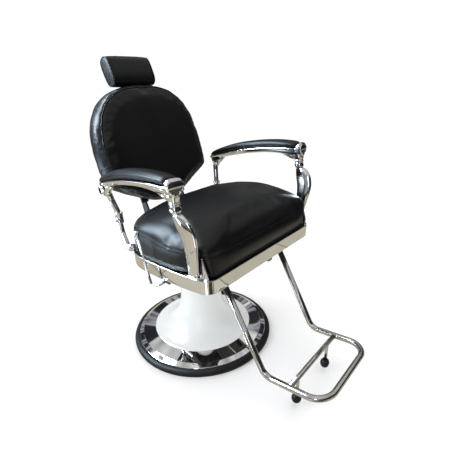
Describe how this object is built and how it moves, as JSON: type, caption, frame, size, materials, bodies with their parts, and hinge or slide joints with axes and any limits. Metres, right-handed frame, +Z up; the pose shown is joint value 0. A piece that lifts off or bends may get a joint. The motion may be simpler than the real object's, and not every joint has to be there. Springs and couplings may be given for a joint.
{
  "type": "hydraulic barber chair",
  "caption": "Reclining barber chair on a hydraulic lifting and swivelling round base, with chromed armrests, tube footrest and height-adjustable headrest.",
  "frame": {"origin": "on the floor, on the axis of the column and the swivel", "axes": "+Z up along the column; the sitter faces -Y; the sitter's left is +X"},
  "size_m": [0.6748, 1.0285, 1.0798],
  "materials": {
    "chrome": "mirror polished",
    "polished_steel": "polished stainless or plain steel",
    "black_steel": "black painted steel",
    "white_enamel": "white gloss enamel",
    "black_vinyl": "satin black vinyl over foam",
    "black_rubber": "matt",
    "plywood": "raw"
  },
  "bodies": {
    "base": {"base_rubber_ring": "black_rubber", "base_plate": "black_steel", "base_trim_ring": "chrome", "pedestal": "white_enamel", "pedestal_cap": "chrome", "hydraulic_cylinder": "polished_steel", "cylinder_gland": "chrome", "oil_reservoir": "black_steel", "base_bolts": "polished_steel", "pump_block": "black_steel", "pedal_pin": "polished_steel"},
    "pump_plunger": {"pump_plunger": "chrome"},
    "pedal": {"pedal_lever": "chrome", "pedal_pad": "black_rubber"},
    "ram": {"hydraulic_ram": "chrome", "thrust_washer": "polished_steel"},
    "seat": {"swivel_hub": "black_steel", "hub_bolts": "polished_steel", "seat_frame": "black_steel", "seat_band": "chrome", "seat_board": "plywood", "seat_cushion": "black_vinyl", "front_strut_left": "chrome", "front_strut_right": "chrome", "rear_strut_left": "chrome", "rear_strut_right": "chrome", "rear_collars": "chrome", "arm_casting_left": "chrome", "arm_casting_right": "chrome", "arm_pad_left": "black_vinyl", "arm_pad_right": "black_vinyl", "strut_bolts": "polished_steel", "recline_brackets": "black_steel", "gas_cylinder": "black_steel", "gas_bracket": "black_steel", "gas_front_pin": "polished_steel", "release_bracket": "black_steel", "footrest_brackets": "black_steel"},
    "back": {"recline_shaft": "polished_steel", "gas_lever": "black_steel", "link_lever": "black_steel", "back_cushion": "black_vinyl", "back_board": "plywood", "back_rear_panel": "black_vinyl", "back_uprights": "black_steel", "back_screws": "polished_steel", "headrest_guides": "polished_steel"},
    "link": {"link_rod": "polished_steel"},
    "gas_rod": {"gas_rod": "chrome"},
    "release_lever": {"release_lever": "chrome", "release_knob": "chrome"},
    "headrest": {"headrest_pad": "black_vinyl", "headrest_core": "plywood", "headrest_posts": "chrome"},
    "footrest": {"footrest_tube": "polished_steel", "footrest_crossbar": "polished_steel", "footrest_feet": "black_rubber", "footrest_axle": "polished_steel", "footrest_lever": "black_steel"}
  },
  "joints": [
    {"name": "lift", "type": "slide", "parent": "base", "child": "ram", "axis": [0, 0, 1], "range_m": [0, 0.15]},
    {"name": "swivel", "type": "hinge", "parent": "ram", "child": "seat", "pos_m": [0, 0, 0.42], "axis": [0, 0, 1], "continuous": true},
    {"name": "recline", "type": "hinge", "parent": "seat", "child": "back", "pos_m": [0, 0.095, 0.455], "axis": [-1, 0, 0], "range_deg": [0, 45]},
    {"name": "footrest_swing", "type": "hinge", "parent": "seat", "child": "footrest", "pos_m": [0, -0.2715, 0.441], "axis": [-1, 0, 0], "range_deg": [0, 26]},
    {"name": "link_swing", "type": "hinge", "parent": "back", "child": "link", "pos_m": [0.127, 0.10648, 0.42728], "axis": [-1, 0, 0], "range_deg": [-46, 0.5]},
    {"name": "gas_rod_slide", "type": "slide", "parent": "seat", "child": "gas_rod", "axis": [0, 1, 0], "range_m": [-0.056, 0.001]},
    {"name": "release_pull", "type": "hinge", "parent": "seat", "child": "release_lever", "pos_m": [-0.2, -0.16, 0.449], "axis": [-1, 0, 0], "range_deg": [0, 14], "stiffness_Nm_per_rad": 2, "springref_deg": -5.73},
    {"name": "headrest_height", "type": "slide", "parent": "back", "child": "headrest", "axis": [0, 0.2588, 0.9659], "range_m": [0, 0.1]},
    {"name": "pedal_press", "type": "hinge", "parent": "base", "child": "pedal", "pos_m": [0.04213, 0.0559, 0.12], "axis": [-0.7986, 0.6018, 0], "range_deg": [0, 16], "stiffness_Nm_per_rad": 30, "springref_deg": -14.32},
    {"name": "plunger_stroke", "type": "slide", "parent": "base", "child": "pump_plunger", "axis": [0, 0, 1], "range_m": [-0.0065, 0.001]}
  ],
  "couplings": [
    {"joint": "footrest_swing", "follows": "recline", "ratio": 0.55556},
    {"joint": "link_swing", "follows": "recline", "ratio": -1},
    {"joint": "gas_rod_slide", "follows": "recline", "m_per_rad": -0.068215},
    {"joint": "plunger_stroke", "follows": "pedal_press", "m_per_rad": -0.0206}
  ]
}
